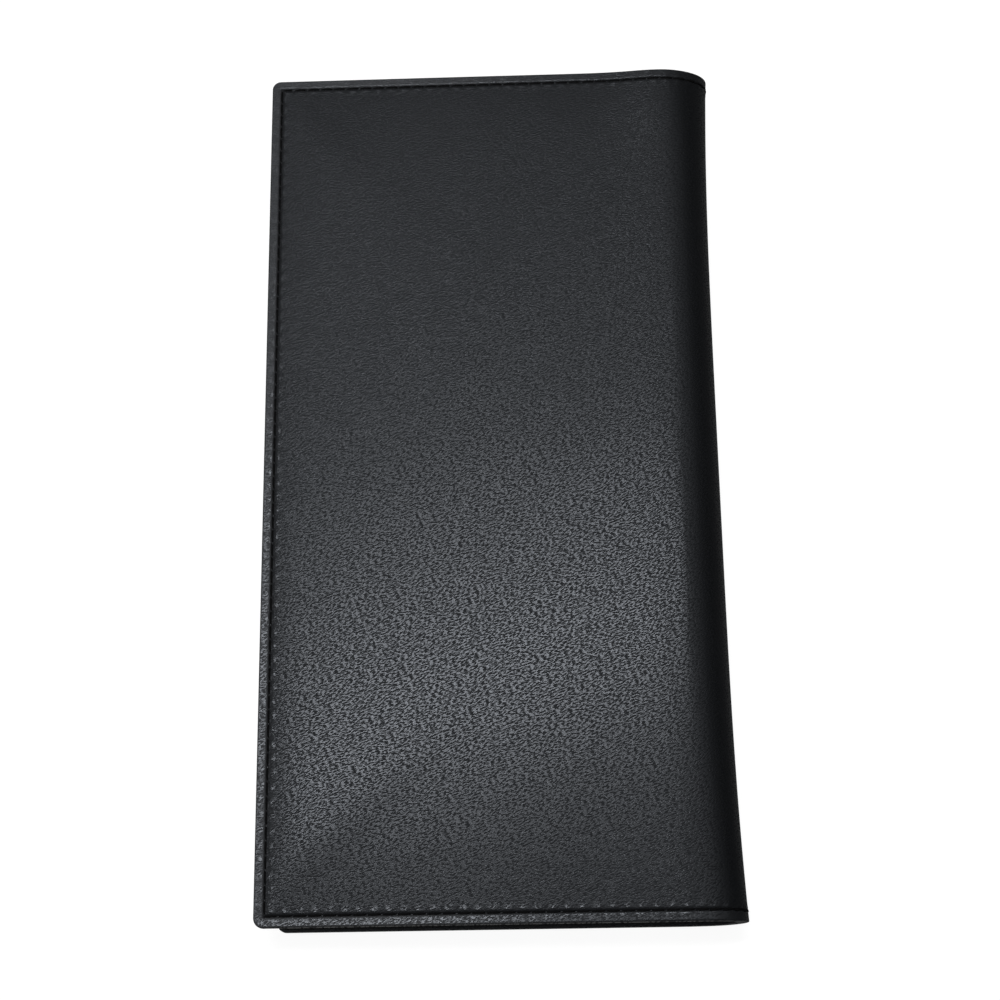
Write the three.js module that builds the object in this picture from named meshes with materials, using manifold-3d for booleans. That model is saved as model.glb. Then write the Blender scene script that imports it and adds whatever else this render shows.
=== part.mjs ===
// Long western bifold wallet in black leather, closed and lying on its front leaf.
// Millimetres. X runs from the fore-edge to the spine, Y along the wallet, Z up.
// The origin is the middle of the footprint, on the surface that the wallet lies on.
import * as THREE from "three";
import { mergeVertices } from "three/addons/utils/BufferGeometryUtils.js";
import Module from "manifold-3d";

const wasm = await Module();
wasm.setup();

// Leaves
const walletLength = 191;
const leafWidth = 89.5; // fore-edge to the start of the fold
const cornerRadius = 2;
const foreEdgeLap = 3.5; // the closed back leaf reaches this far past the front leaf
const leafTilt = THREE.MathUtils.degToRad(1.2); // the closed back leaf slopes down to its fore-edge

// Outer leather, one blank with its edges turned in over a stiffening board and a cloth lining
const leatherThickness = 1.4;
const hemWidth = 9;
const hemSkive = 2; // length over which the turned-in edge is pared away
const edgeRoll = 1.2; // radius of the folded edge
const boardThickness = 0.45;
const boardSetback = 3; // the board stops this far before the fold
const liningThickness = 0.35;
const billDepth = 0.5; // slip pocket behind each inner panel
const panelThickness = 1.2;
const panelInset = 0.5; // inner panels sit this far inside the cover's edge
const panelBevel = 0.3;
const layerGap = 0.1;

// Saddle seam sunk in a groove along the free edges
const stitchMargin = 2;
const threadWidth = 0.7;
const threadThickness = 0.35;
const threadDepth = 0.1; // the thread lies this far under the leather's face
const threadClearance = 0.2;
const threadSeat = 0.05;

// Fold
const foldLine = 0.25; // share of the fold, from either leaf, where the leather turns
const foldGap = 0.3; // between the leather on the two sides of a fold line
const liningReach = 0.8; // the leaf linings run this far past the start of the fold
const mouthReach = 0.4; // the pocket mouths stop this far past the start of the fold
const spineWaist = 1.2; // the spine is drawn in by this at mid-length

// Card slots, a shingled stack that ends in a deep pocket
const slotCount = 5;
const slotStep = 14;
const slotLap = 5;
const slotThickness = 1;
const slotGap = 0.3;
const slotInset = 1.2;
const firstMouth = 30; // from the head of the wallet to the first card mouth

// Identity-card wing, sized from a standard card
const cardLength = 85.6;
const cardHeight = 54;
const wingSeam = 5.2; // sewn margin round the card
const wingLeather = 1;
const vinylThickness = 0.4;
const vinylMargin = 2; // the clear sheet stops this far inside the wing's edge
const wingGap = 0.2;
const windowLip = 3; // the frame covers this much of the card's edge
const windowRadius = 4;
const wingCorner = 5;
const wingInset = 7; // from the start of the fold back to the wing's hinge line
const wingBend = 0.9; // free leather on each side of the hinge line
const tabWidth = 5;

// Closed stack
const restGap = 0.5; // between the layers that lie on each other when closed

// Facets
const curveSteps = 4;
const rollSteps = 2;
const foldSteps = 12;
const overshoot = 1; // cutting tools run this far past what they cut

// Depths inside a leaf, measured from the outer face of the leather
const boardDepth = leatherThickness + layerGap;
const liningDepth = boardDepth + boardThickness + layerGap;
const hemDepth = liningDepth + liningThickness + billDepth;
const rollRadius = Math.min(edgeRoll, hemDepth / 2.2);
const panelDepth = hemDepth + layerGap;
const panelFace = panelDepth + panelThickness;
const slotDepth = panelFace + layerGap;
const grooveWidth = threadWidth + 2 * threadClearance;
const grooveDepth = threadDepth + threadThickness + threadSeat;
const trayInset = hemWidth + hemSkive + layerGap;
const halfLength = walletLength / 2;

// Card slots
const slotLength = slotStep + slotLap;
const mouthHeight = ((slotThickness + slotGap) * slotLength) / slotStep;
const cardFace = slotDepth + mouthHeight + slotThickness;

// Wing
const wingLength = cardLength + 2 * wingSeam;
const wingWidth = cardHeight + 2 * wingSeam;
const hingeX = -wingInset;
const wingRoot = hingeX - wingBend;
const wingFree = wingRoot - wingWidth;
const wingBackZ = panelFace + restGap;
const vinylZ = wingBackZ + wingLeather + wingGap;
const frameZ = vinylZ + vinylThickness + wingGap;
const wingFace = frameZ + wingLeather;
const frameRoot = wingRoot - wingLeather;

// Path of the leather's outer face round the closed wallet, seen along the spine
const closedHeight = wingFace + restGap + cardFace - wingFree * Math.tan(leafTilt);
const handle = (2 / 3) * closedHeight; // makes the fold about half round
const wrap = new THREE.Path();
wrap.moveTo(-leafWidth, 0);
wrap.lineTo(0, 0);
wrap.bezierCurveTo(
  handle,
  0,
  handle * Math.cos(leafTilt) - foreEdgeLap,
  handle * Math.sin(leafTilt) + closedHeight,
  -foreEdgeLap,
  closedHeight,
);
wrap.lineTo(
  -foreEdgeLap - leafWidth * Math.cos(leafTilt),
  closedHeight - leafWidth * Math.sin(leafTilt),
);
const wrapLength = wrap.getLength();
const foldLength = wrapLength - 2 * leafWidth;
const frontFold = leafWidth + foldLine * foldLength;
const backFold = wrapLength - frontFold;

// Solids
function toSolid(geometry) {
  const bare = geometry.clone();
  bare.deleteAttribute("normal");
  bare.deleteAttribute("uv");
  const merged = mergeVertices(bare);
  return new wasm.Manifold(
    new wasm.Mesh({
      numProp: 3,
      vertProperties: merged.attributes.position.array,
      triVerts: new Uint32Array(merged.index.array),
    }),
  );
}

function toGeometry(solid) {
  const mesh = solid.getMesh();
  const geometry = new THREE.BufferGeometry();
  geometry.setAttribute("position", new THREE.BufferAttribute(mesh.vertProperties, 3));
  geometry.setIndex(new THREE.BufferAttribute(mesh.triVerts, 1));
  const faceted = geometry.toNonIndexed();
  faceted.computeVertexNormals();
  return faceted;
}

function cut(geometry, tools) {
  const solids = tools.map(toSolid);
  return toGeometry(solids.reduce((left, tool) => left.subtract(tool), toSolid(geometry)));
}

function join(geometries) {
  const [first, ...others] = geometries.map(toSolid);
  return toGeometry(others.reduce((sum, solid) => sum.add(solid), first));
}

function slab(shape, bottom, thickness) {
  const options = { depth: thickness, bevelEnabled: false, curveSegments: curveSteps };
  return new THREE.ExtrudeGeometry(shape, options).translate(0, 0, bottom);
}

// Closed wall between two faces, given at the crossings of columns and rows
function wall(columns, rows, faceAt, backAt) {
  const positions = [];
  const quad = (a, b, c, d) => [a, b, c, a, c, d].forEach((p) => positions.push(p.x, p.y, p.z));
  const face = columns.map((s) => rows.map((y) => faceAt(s, y)));
  const back = columns.map((s) => rows.map((y) => backAt(s, y)));
  const lastColumn = columns.length - 1;
  const lastRow = rows.length - 1;
  for (let i = 0; i < lastColumn; i += 1) {
    for (let j = 0; j < lastRow; j += 1) {
      quad(face[i][j], face[i][j + 1], face[i + 1][j + 1], face[i + 1][j]);
      quad(back[i][j], back[i + 1][j], back[i + 1][j + 1], back[i][j + 1]);
    }
    quad(face[i][0], face[i + 1][0], back[i + 1][0], back[i][0]);
    quad(face[i][lastRow], back[i][lastRow], back[i + 1][lastRow], face[i + 1][lastRow]);
  }
  for (let j = 0; j < lastRow; j += 1) {
    quad(face[0][j], back[0][j], back[0][j + 1], face[0][j + 1]);
    quad(face[lastColumn][j], face[lastColumn][j + 1], back[lastColumn][j + 1], back[lastColumn][j]);
  }
  const geometry = new THREE.BufferGeometry();
  geometry.setAttribute("position", new THREE.Float32BufferAttribute(positions, 3));
  geometry.computeVertexNormals();
  return geometry;
}

// Outer leather: a place on the blank, s along its width and y along its length, at a depth
function wrapPoint(s, y, depth) {
  const place = wrap.getPoint(s / wrapLength);
  const tangent = wrap.getTangent(s / wrapLength);
  const share = THREE.MathUtils.clamp((s - leafWidth) / foldLength, 0, 1);
  const waist = spineWaist * (1 - (y / halfLength) ** 2) * Math.sin(Math.PI * share);
  return new THREE.Vector3(
    place.x - tangent.y * depth - waist,
    y,
    place.y + tangent.x * depth,
  );
}

// The leather runs rounded at the blank's four corners: rings of the grid become round there.
function roundCorner(s, y) {
  const fromFore = cornerRadius - Math.min(s, wrapLength - s);
  const fromEnd = cornerRadius - (halfLength - Math.abs(y));
  if (fromFore <= 0 || fromEnd <= 0) {
    return { s, y };
  }
  const radius = Math.max(fromFore, fromEnd);
  const turn = (Math.PI / 4) * (Math.min(fromFore, fromEnd) / radius);
  const angle = fromFore >= fromEnd ? turn : Math.PI / 2 - turn;
  const inward = cornerRadius - radius * Math.cos(angle);
  const along = halfLength - cornerRadius + radius * Math.sin(angle);
  return { s: s < wrapLength / 2 ? inward : wrapLength - inward, y: Math.sign(y) * along };
}

function edgeDistance(s, y) {
  return Math.min(s, wrapLength - s, halfLength - Math.abs(y));
}

function rollDrop(distance) {
  const short = Math.max(rollRadius - distance, 0);
  return rollRadius - Math.sqrt(rollRadius ** 2 - short ** 2);
}

function leatherFace(s, y) {
  const place = roundCorner(s, y);
  return wrapPoint(place.s, place.y, rollDrop(edgeDistance(s, y)));
}

function leatherBack(s, y) {
  const place = roundCorner(s, y);
  const distance = edgeDistance(s, y);
  const pared = THREE.MathUtils.clamp((distance - hemWidth) / hemSkive, 0, 1);
  const turnedIn = THREE.MathUtils.lerp(hemDepth, leatherThickness, pared);
  return wrapPoint(place.s, place.y, turnedIn - rollDrop(distance));
}

function ordered(values) {
  return [...new Set(values)].sort((a, b) => a - b);
}

// Distances from a free edge where the leather's section changes
function edgeStops() {
  const roll = [];
  for (let i = 0; i <= rollSteps; i += 1) {
    roll.push(rollRadius * (1 - Math.cos(((i / rollSteps) * Math.PI) / 2)));
  }
  return ordered([...roll, cornerRadius, hemWidth, hemWidth + hemSkive]);
}

// Places along the wrap between two ends, closer together round the fold
function wrapStops(start, end) {
  const stops = [start, end];
  for (let i = 0; i <= foldSteps; i += 1) {
    const stop = leafWidth + (i / foldSteps) * foldLength;
    if (stop > start + foldGap && stop < end - foldGap) {
      stops.push(stop);
    }
  }
  return ordered(stops);
}

// Band of the wrap between two depths, such as a groove, a thread or the spine's lining
function band(start, end, low, high, outer, inner) {
  const rows = ordered([low, low / 2, 0, high / 2, high].filter((y) => y >= low && y <= high));
  const faceAt = (s, y) => wrapPoint(s, y, outer);
  const backAt = (s, y) => wrapPoint(s, y, inner);
  return wall(wrapStops(start, end), rows, faceAt, backAt);
}

// Stitch line of one part of the wrap: across each end, and down the fore-edge where there is one
function seamBands(start, end, width, outer, inner) {
  const bands = [];
  const near = start === 0 ? stitchMargin - width / 2 : start;
  const far = end === wrapLength ? wrapLength - stitchMargin + width / 2 : end;
  const outside = halfLength - stitchMargin + width / 2;
  const inside = outside - width;
  bands.push(band(near, far, inside, outside, outer, inner));
  if (start === 0) {
    bands.push(band(near, near + width, -outside, outside, outer, inner));
  }
  if (end === wrapLength) {
    bands.push(band(far - width, far, -outside, outside, outer, inner));
  }
  bands.push(band(near, far, -outside, -inside, outer, inner));
  return bands;
}

// Part of the leather blank between two fold lines or edges, with its stitch groove
function leather(start, end) {
  const fromEdge = edgeStops();
  const columns = wrapStops(start, end);
  if (start === 0) {
    columns.push(...fromEdge);
  }
  if (end === wrapLength) {
    columns.push(...fromEdge.map((distance) => wrapLength - distance));
  }
  const ends = fromEdge.flatMap((distance) => [halfLength - distance, distance - halfLength]);
  const rows = ordered([...ends, -halfLength / 2, 0, halfLength / 2]);
  const blank = wall(ordered(columns), rows, leatherFace, leatherBack);
  const pastStart = start === 0 ? start : start - foldGap;
  const pastEnd = end === wrapLength ? end : end + foldGap;
  return cut(blank, seamBands(pastStart, pastEnd, grooveWidth, -overshoot, grooveDepth));
}

function seam(start, end) {
  return seamBands(start, end, threadWidth, threadDepth, threadDepth + threadThickness);
}

// Outline that is square towards the fold and rounded at its two free corners
function flapOutline(free, root, half, radius) {
  const shape = new THREE.Shape();
  shape.moveTo(root, -half);
  shape.lineTo(root, half);
  shape.absarc(free + radius, half - radius, radius, Math.PI / 2, Math.PI);
  shape.absarc(free + radius, radius - half, radius, Math.PI, 1.5 * Math.PI);
  return shape;
}

// Leaf layers, with the leather's outer face at zero and the start of the fold at X zero
function leafOutline(inset, reach) {
  const radius = Math.max(cornerRadius - inset, cornerRadius / 4);
  return flapOutline(inset - leafWidth, reach, halfLength - inset, radius);
}

function board() {
  return slab(leafOutline(trayInset, -boardSetback), boardDepth, boardThickness);
}

function lining() {
  return slab(leafOutline(trayInset, liningReach), liningDepth, liningThickness);
}

function innerPanel() {
  const options = {
    depth: panelThickness - 2 * panelBevel,
    bevelThickness: panelBevel,
    bevelSize: panelBevel,
    bevelOffset: -panelBevel,
    bevelSegments: 1,
    curveSegments: curveSteps,
  };
  const panel = new THREE.ExtrudeGeometry(leafOutline(panelInset, mouthReach), options);
  return panel.translate(0, 0, panelDepth + panelBevel);
}

// Strip of leather with a rounded mouth, lying on the panel at its tail and raised at its mouth
function slotStrip(mouth, tail) {
  const length = tail - mouth;
  const lip = slotThickness / 2;
  const side = new THREE.Shape();
  side.moveTo(length, 0);
  side.lineTo(length, slotThickness);
  side.lineTo(lip, mouthHeight + slotThickness);
  side.absarc(lip, mouthHeight + lip, lip, Math.PI / 2, 1.5 * Math.PI);
  const fore = slotInset - leafWidth;
  const options = { depth: mouthReach - fore, bevelEnabled: false, curveSegments: curveSteps };
  const strip = new THREE.ExtrudeGeometry(side, options);
  const alongWallet = new THREE.Vector3(0, 1, 0);
  const inward = new THREE.Vector3(0, 0, 1);
  const acrossWallet = new THREE.Vector3(1, 0, 0);
  strip.applyMatrix4(new THREE.Matrix4().makeBasis(alongWallet, inward, acrossWallet));
  return strip.translate(fore, mouth, slotDepth);
}

// Wing: leather back, clear sheet and a leather frame, on a sewn tab
function wingTab() {
  const tab = new THREE.BoxGeometry(tabWidth, wingLength, wingLeather);
  const middle = hingeX + wingBend + tabWidth / 2;
  return tab.translate(middle, 0, panelFace + layerGap + wingLeather / 2);
}

function wingBack() {
  return slab(flapOutline(wingFree, wingRoot, wingLength / 2, wingCorner), wingBackZ, wingLeather);
}

function wingWindow() {
  const radius = Math.max(wingCorner - vinylMargin, wingCorner / 4);
  const half = wingLength / 2 - vinylMargin;
  const sheet = flapOutline(wingFree + vinylMargin, frameRoot - vinylMargin, half, radius);
  return slab(sheet, vinylZ, vinylThickness);
}

function wingFrame() {
  const outline = flapOutline(wingFree, frameRoot, wingLength / 2, wingCorner);
  const middle = (wingFree + wingRoot) / 2;
  const x = cardHeight / 2 - windowLip - windowRadius;
  const y = cardLength / 2 - windowLip - windowRadius;
  const opening = new THREE.Path();
  opening.absarc(middle + x, y, windowRadius, 0, Math.PI / 2);
  opening.absarc(middle - x, y, windowRadius, Math.PI / 2, Math.PI);
  opening.absarc(middle - x, -y, windowRadius, Math.PI, 1.5 * Math.PI);
  opening.absarc(middle + x, -y, windowRadius, 1.5 * Math.PI, 2 * Math.PI);
  outline.holes.push(opening);
  return slab(outline, frameZ, wingLeather);
}

// Materials
const material = (color, roughness) =>
  new THREE.MeshStandardMaterial({ color, roughness, metalness: 0 });
const coverLeather = material(0x1b1c1e, 0.45);
const innerLeather = material(0x161617, 0.5);
const liningCloth = material(0x24221f, 0.85);
const fibreBoard = material(0x7d7464, 0.9);
const thread = material(0x0c0c0d, 0.6);
const vinyl = material(0xdde4e6, 0.15);
vinyl.transparent = true;
vinyl.opacity = 0.35;

function add(group, name, geometry, finish) {
  const mesh = new THREE.Mesh(geometry, finish);
  mesh.name = name;
  group.add(mesh);
}

const frontEnd = frontFold - foldGap / 2;
const spineStart = frontFold + foldGap / 2;
const spineEnd = backFold - foldGap / 2;
const backStart = backFold + foldGap / 2;

// Front leaf, under the closed wallet
const frontLeaf = new THREE.Group();
add(frontLeaf, "front_cover", leather(0, frontEnd), coverLeather);
add(frontLeaf, "front_board", board(), fibreBoard);
add(frontLeaf, "front_lining", lining(), liningCloth);
add(frontLeaf, "check_pocket", innerPanel(), innerLeather);
add(frontLeaf, "front_seam", join(seam(0, frontEnd)), thread);
add(frontLeaf, "wing_tab", wingTab(), innerLeather);

// Identity-card wing, lying on the front leaf
const idWing = new THREE.Group();
add(idWing, "wing_back", wingBack(), innerLeather);
add(idWing, "wing_window", wingWindow(), vinyl);
add(idWing, "wing_frame", wingFrame(), innerLeather);

// Spine, with a seam across its head and its foot
const spine = new THREE.Group();
const spineLiningDepth = hemDepth + layerGap;
const spineLining = band(
  spineStart,
  spineEnd,
  stitchMargin - halfLength,
  halfLength - stitchMargin,
  spineLiningDepth,
  spineLiningDepth + liningThickness,
);
const [headSeam, footSeam] = seam(spineStart, spineEnd);
add(spine, "spine_cover", leather(spineStart, spineEnd), coverLeather);
add(spine, "spine_lining", spineLining, liningCloth);
add(spine, "spine_head_seam", headSeam, thread);
add(spine, "spine_foot_seam", footSeam, thread);

// Back leaf, its layers turned over on to the front leaf
const backLeaf = new THREE.Group();
add(backLeaf, "back_cover", leather(backStart, wrapLength), coverLeather);
add(backLeaf, "back_seam", join(seam(backStart, wrapLength)), thread);
const backTilt = new THREE.Group();
backTilt.position.set(-foreEdgeLap, 0, closedHeight);
backTilt.rotation.y = -leafTilt;
backLeaf.add(backTilt);
const backLayers = new THREE.Group();
backLayers.rotation.x = Math.PI;
backTilt.add(backLayers);
add(backLayers, "back_board", board(), fibreBoard);
add(backLayers, "back_lining", lining(), liningCloth);
add(backLayers, "bill_pocket", innerPanel(), innerLeather);
for (let i = 0; i < slotCount; i += 1) {
  const mouth = firstMouth - halfLength + i * slotStep;
  add(backLayers, `card_slot_${i + 1}`, slotStrip(mouth, mouth + slotLength), innerLeather);
}
const pocketMouth = firstMouth - halfLength + slotCount * slotStep;
add(backLayers, "card_pocket", slotStrip(pocketMouth, halfLength - slotInset), innerLeather);

// Whole wallet, moved so that the middle of its footprint is at the origin
const wallet = new THREE.Group();
wallet.name = "rodeo_wallet";
wallet.add(frontLeaf, spine, backLeaf, idWing);
wallet.position.x = -new THREE.Box3().setFromObject(wallet, true).getCenter(new THREE.Vector3()).x;
wallet.updateMatrixWorld(true);

// Turning lines, all along +Y: front leaf to spine, spine to back leaf, front leaf to wing
wallet.userData.turningLines = {
  spine_fold: wallet.localToWorld(wrapPoint(frontFold, halfLength, 0)),
  back_fold: wallet.localToWorld(wrapPoint(backFold, halfLength, 0)),
  wing_turn: wallet.localToWorld(new THREE.Vector3(hingeX, 0, wingBackZ + wingLeather / 2)),
};

export default wallet;
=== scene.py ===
"""Long western bifold wallet in black leather, closed and lying on its front leaf.

Metres, in the frame of the solids: X from the fore-edge to the spine, Y along the wallet, Z up.
"""
import bisect
import math

import bmesh
import bpy
from mathutils import Matrix, Vector, noise
from mathutils.geometry import interpolate_bezier


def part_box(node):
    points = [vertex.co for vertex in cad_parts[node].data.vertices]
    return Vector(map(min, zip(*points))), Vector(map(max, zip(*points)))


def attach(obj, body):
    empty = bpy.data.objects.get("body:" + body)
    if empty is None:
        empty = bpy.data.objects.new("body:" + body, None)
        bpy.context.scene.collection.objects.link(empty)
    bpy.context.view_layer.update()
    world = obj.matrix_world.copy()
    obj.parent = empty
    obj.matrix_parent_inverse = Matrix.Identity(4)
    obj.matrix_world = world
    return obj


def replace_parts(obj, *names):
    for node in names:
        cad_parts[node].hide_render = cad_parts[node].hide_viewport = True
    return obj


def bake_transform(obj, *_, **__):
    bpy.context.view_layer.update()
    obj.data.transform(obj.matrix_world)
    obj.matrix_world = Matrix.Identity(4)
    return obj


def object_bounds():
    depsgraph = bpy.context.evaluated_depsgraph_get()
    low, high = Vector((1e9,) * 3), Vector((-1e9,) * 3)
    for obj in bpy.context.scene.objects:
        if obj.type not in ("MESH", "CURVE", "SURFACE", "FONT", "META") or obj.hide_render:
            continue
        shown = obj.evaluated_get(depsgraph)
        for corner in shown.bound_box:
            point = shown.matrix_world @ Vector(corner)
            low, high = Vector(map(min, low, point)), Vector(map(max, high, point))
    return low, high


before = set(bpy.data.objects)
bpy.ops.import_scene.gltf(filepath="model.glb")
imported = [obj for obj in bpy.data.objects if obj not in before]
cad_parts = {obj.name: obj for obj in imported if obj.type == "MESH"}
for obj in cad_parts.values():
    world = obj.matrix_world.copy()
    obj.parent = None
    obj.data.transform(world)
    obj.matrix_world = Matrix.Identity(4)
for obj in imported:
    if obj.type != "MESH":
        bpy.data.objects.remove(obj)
cad_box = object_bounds()

MM = 0.001

# Leather blank, one piece that wraps both leaves and the spine
LEAF_WIDTH = 89.5 * MM
CORNER_RADIUS = 2 * MM
FORE_EDGE_LAP = 3.5 * MM
LEAF_TILT = math.radians(1.2)
LEATHER = 1.4 * MM
HEM_WIDTH = 9 * MM
HEM_SKIVE = 2 * MM
EDGE_ROLL = 0.25 * MM
EDGE_DROP = 0.8 * MM
SPINE_WAIST = 1.75 * MM
FULLNESS_BELOW = 0.4
FULLNESS_ABOVE = 1.27
EASE_RUN = 24 * MM
EASE_REACH = 5.5 * MM
EASE_PASSES = 2
LAYER_GAP = 0.1 * MM

# Swell of the stiff hems where they turn into the spine
SWELL_HEAD = 1.05 * MM
SWELL_FADE = 17 * MM
SWELL_ON_LEAF = 9 * MM
SWELL_ON_FOLD = 7 * MM
DROOP_FOOT = 0.6 * MM
DROOP_FADE = 30 * MM
DROOP_ON_LEAF = 32 * MM

# Slack of the back leaf
SLACK = 0.16 * MM
SLACK_LENGTH = 38 * MM
SLACK_LAYER = 3.7
SLACK_FROM_EDGE = 12 * MM

# Saddle seam, sunk in a groove
STITCH_MARGIN = 2.28 * MM
STITCH_PITCH = 3 * MM
STITCH_LENGTH = 2.85 * MM
STITCH_WIDTH = 0.78 * MM
STITCH_HEIGHT = 0.5 * MM
STITCH_SLANT = math.radians(6)
FIRST_STITCH_SLANT = math.radians(18)
GROOVE_DEPTH = 0.4 * MM
GROOVE_REACH = 0.2 * MM

# Pull of the seam on the leather beside it, and its ease on the fold
PULL_DEPTH = 0.6 * MM
PULL_REACH = 4.4 * MM
PULL_REACH_ENDS = 12 * MM
PULL_TURN = 6 * MM
STITCH_SUNK = 0.24 * MM
STITCH_DEPTH = PULL_DEPTH + STITCH_SUNK
STRIP_SLOPE = 0.07
STRIP_FADE = 0.85
FOLD_SEAM_EASE = 0.6

# Puckers between the stitches, weaker outside the seam
PUCKER = 0.09 * MM
PUCKER_REACH = 0.5 * MM
PUCKER_PLACE = 0.65 * MM
PUCKER_MEAN = 0.3
PUCKER_OUTSIDE = 0.4

# Dull band of the fold, also darkened in colour as painted shade, from its middle, as shares of
# the fold's length
DULL_AND_SHADED_FULL = 0.25
DULL_AND_SHADED_END = 0.6

# Inner leather
PANEL_INSET = 0.5 * MM
PANEL_ROLL = 0.45 * MM
PANEL_CORNER = 1.5 * MM
MOUTH_REACH = 0.4 * MM
MOUTH_SEAM = 2.2 * MM
INNER_STITCH_DEPTH = 0.36 * MM
INNER_GROOVE = 0.3 * MM
SLOT_INSET = 1.2 * MM
SLOT_MARGIN = 1.4 * MM
SLOT_THICKNESS = 1 * MM
SLOT_ROLL = 0.48 * MM
SLOT_STEP = 14 * MM
SLOT_COUNT = 5
SLOT_CLEARANCE = 0.3 * MM
CREASE_PLACE = 1.9 * MM
CREASE_DEPTH = 0.16 * MM
CREASE_REACH = 0.35 * MM

# Identity-card wing
WING_CORNER = 5 * MM
WING_ROLL = 0.4 * MM
WING_BEND = 2.4 * MM
WING_SEAM = 2.6 * MM
CARD_LENGTH = 85.6 * MM
CARD_HEIGHT = 54 * MM
WINDOW_LIP = 3 * MM
WINDOW_RADIUS = 4 * MM

# Leather grain, turned on the blank
GRAIN_TURN = 0.38

# Studio, and the camera that was fitted to the photograph's outline
FLOOR_RADIUS = 1.6
FLOOR_WALL = 0.4
FLOOR_COVE = 0.3
CAMERA_LENS = 68.605
CAMERA_PLACE = (4.049 * MM, -128.14 * MM, 404.071 * MM)
CAMERA_TURN = (0.30253, 0.01197, -0.01435)

# Mesh
COVER_CELL = 1.5 * MM
PANEL_CELL = 2.5 * MM
SHEET_GAP = 1 * MM
GRID_SNAP = 0.07 * MM
JOINT_LINE = GRID_SNAP * 1.5
FOLD_STEPS = 400
FOLD_FINENESS = 1.5
SECTION_STEP = 0.1 * MM
RUN_STEPS = 60
SEAM_BAND = 4 * MM
LONGEST_SEAM_EDGE = 0.8 * MM
SEAM_SPLITS = 3
ROLL_CUTS = 4
STRIP_CUTS = (0.12, 0.4, 0.7, 0.94)
GROOVE_CUT = GROOVE_REACH * 0.45
PUCKER_CUT = PUCKER_REACH * 0.6
CREASE_CUT = CREASE_REACH * 0.6
CORNER_STEPS = 8
FRAME_ROLL_STEPS = 4
SQUARE_EDGE = math.radians(60)
WING_BEND_STEPS = 4
STITCH_SIDES = 8
STITCH_RINGS = 6
COVE_STEPS = 8
FLOOR_STEPS = 96

ALONG_X = Vector((1, 0, 0))
ALONG_Y = Vector((0, 1, 0))
UP = Vector((0, 0, 1))

# Sizes that the solids give
front_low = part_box("front_cover")[0]
panel_low, panel_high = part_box("check_pocket")
lining_low, lining_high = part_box("front_lining")
tab_low, tab_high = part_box("wing_tab")
page_low, page_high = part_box("wing_back")
vinyl_low, vinyl_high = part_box("wing_window")
rim_low, rim_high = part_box("wing_frame")
half_length = cad_box[1].y
closed_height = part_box("back_cover")[1].z
fold_x = front_low.x + LEAF_WIDTH
panel_depth = panel_low.z
panel_face = panel_high.z
hem_depth = panel_depth - LAYER_GAP
slot_depth = panel_face + LAYER_GAP

# Leaf coordinates: X zero at the start of the fold, Z inward from the leather's outer face
front_place = Matrix.Translation((fold_x, 0, 0))
back_place = (
    Matrix.Translation((fold_x - FORE_EDGE_LAP, 0, closed_height))
    @ Matrix.Rotation(-LEAF_TILT, 4, "Y")
    @ Matrix.Rotation(math.pi, 4, "X")
)

# Fold of the blank round the spine, fuller above than below
back_away = Vector((-math.cos(LEAF_TILT), 0, -math.sin(LEAF_TILT)))
fold_end = Vector((-FORE_EDGE_LAP, 0, closed_height))
fold_curve = interpolate_bezier(
    Vector((0, 0, 0)),
    Vector((closed_height * FULLNESS_BELOW, 0, 0)),
    fold_end - back_away * closed_height * FULLNESS_ABOVE,
    fold_end,
    FOLD_STEPS,
)
fold_marks = [0.0]
for before, after in zip(fold_curve, fold_curve[1:]):
    fold_marks.append(fold_marks[-1] + (after - before).length)
fold_length = fold_marks[-1]
wrap_length = 2 * LEAF_WIDTH + fold_length
mid_spine = wrap_length / 2
back_fold = LEAF_WIDTH + fold_length


def smooth(value, low, high):
    """0 below low, 1 above high, and an even rise between."""
    t = min(max((value - low) / (high - low), 0), 1)
    return t * t * (3 - 2 * t)


def bell(value, middle, reach):
    """1 at the middle, falling evenly to 0 on either side."""
    return math.exp(-(((value - middle) / reach) ** 2))


def sharp_place(s):
    """Place on the leather's outer face, s along the blank, before its bends are drawn out."""
    if s <= LEAF_WIDTH:
        return Vector((s - LEAF_WIDTH, 0, 0))
    if s >= back_fold:
        return fold_end + back_away * (s - back_fold)
    i = min(max(bisect.bisect_right(fold_marks, s - LEAF_WIDTH), 1), len(fold_marks) - 1)
    share = (s - LEAF_WIDTH - fold_marks[i - 1]) / (fold_marks[i] - fold_marks[i - 1])
    return fold_curve[i - 1].lerp(fold_curve[i], share)


def eased(points, reach):
    """Even run of points with its bends drawn out over a reach of neighbours."""
    last = len(points) - 1
    drawn = []
    for i in range(len(points)):
        near = min(reach, i, last - i)
        window = points[i - near : i + near + 1]
        drawn.append(sum(window, Vector((0, 0, 0))) / len(window))
    return drawn


section_start = LEAF_WIDTH - EASE_RUN
section_count = round((fold_length + 2 * EASE_RUN) / SECTION_STEP)
section = [sharp_place(section_start + step * SECTION_STEP) for step in range(section_count)]
for _ in range(EASE_PASSES):
    section = eased(section, round(EASE_REACH / SECTION_STEP))


def wrap_place(s):
    """Place and direction on the leather's outer face, s along the blank."""
    if s <= LEAF_WIDTH - EASE_RUN / 2:
        return sharp_place(s), ALONG_X
    if s >= back_fold + EASE_RUN / 2:
        return sharp_place(s), back_away
    steps = (s - section_start) / SECTION_STEP
    i = math.floor(steps)
    before, here, after, next_after = section[i - 1 : i + 3]
    share = steps - i
    along = (after - before).lerp(next_after - here, share)
    return here.lerp(after, share), along.normalized()


def wrap_point(s, y, depth):
    """Point of the blank at a depth under its smooth outer face."""
    place, along = wrap_place(s)
    share = min(max((s - LEAF_WIDTH) / fold_length, 0), 1)
    waist = SPINE_WAIST * (1 - (y / half_length) ** 4) * math.sin(math.pi * share)
    return Vector((fold_x + place.x - along.z * depth - waist, y, place.z + along.x * depth))


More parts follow.
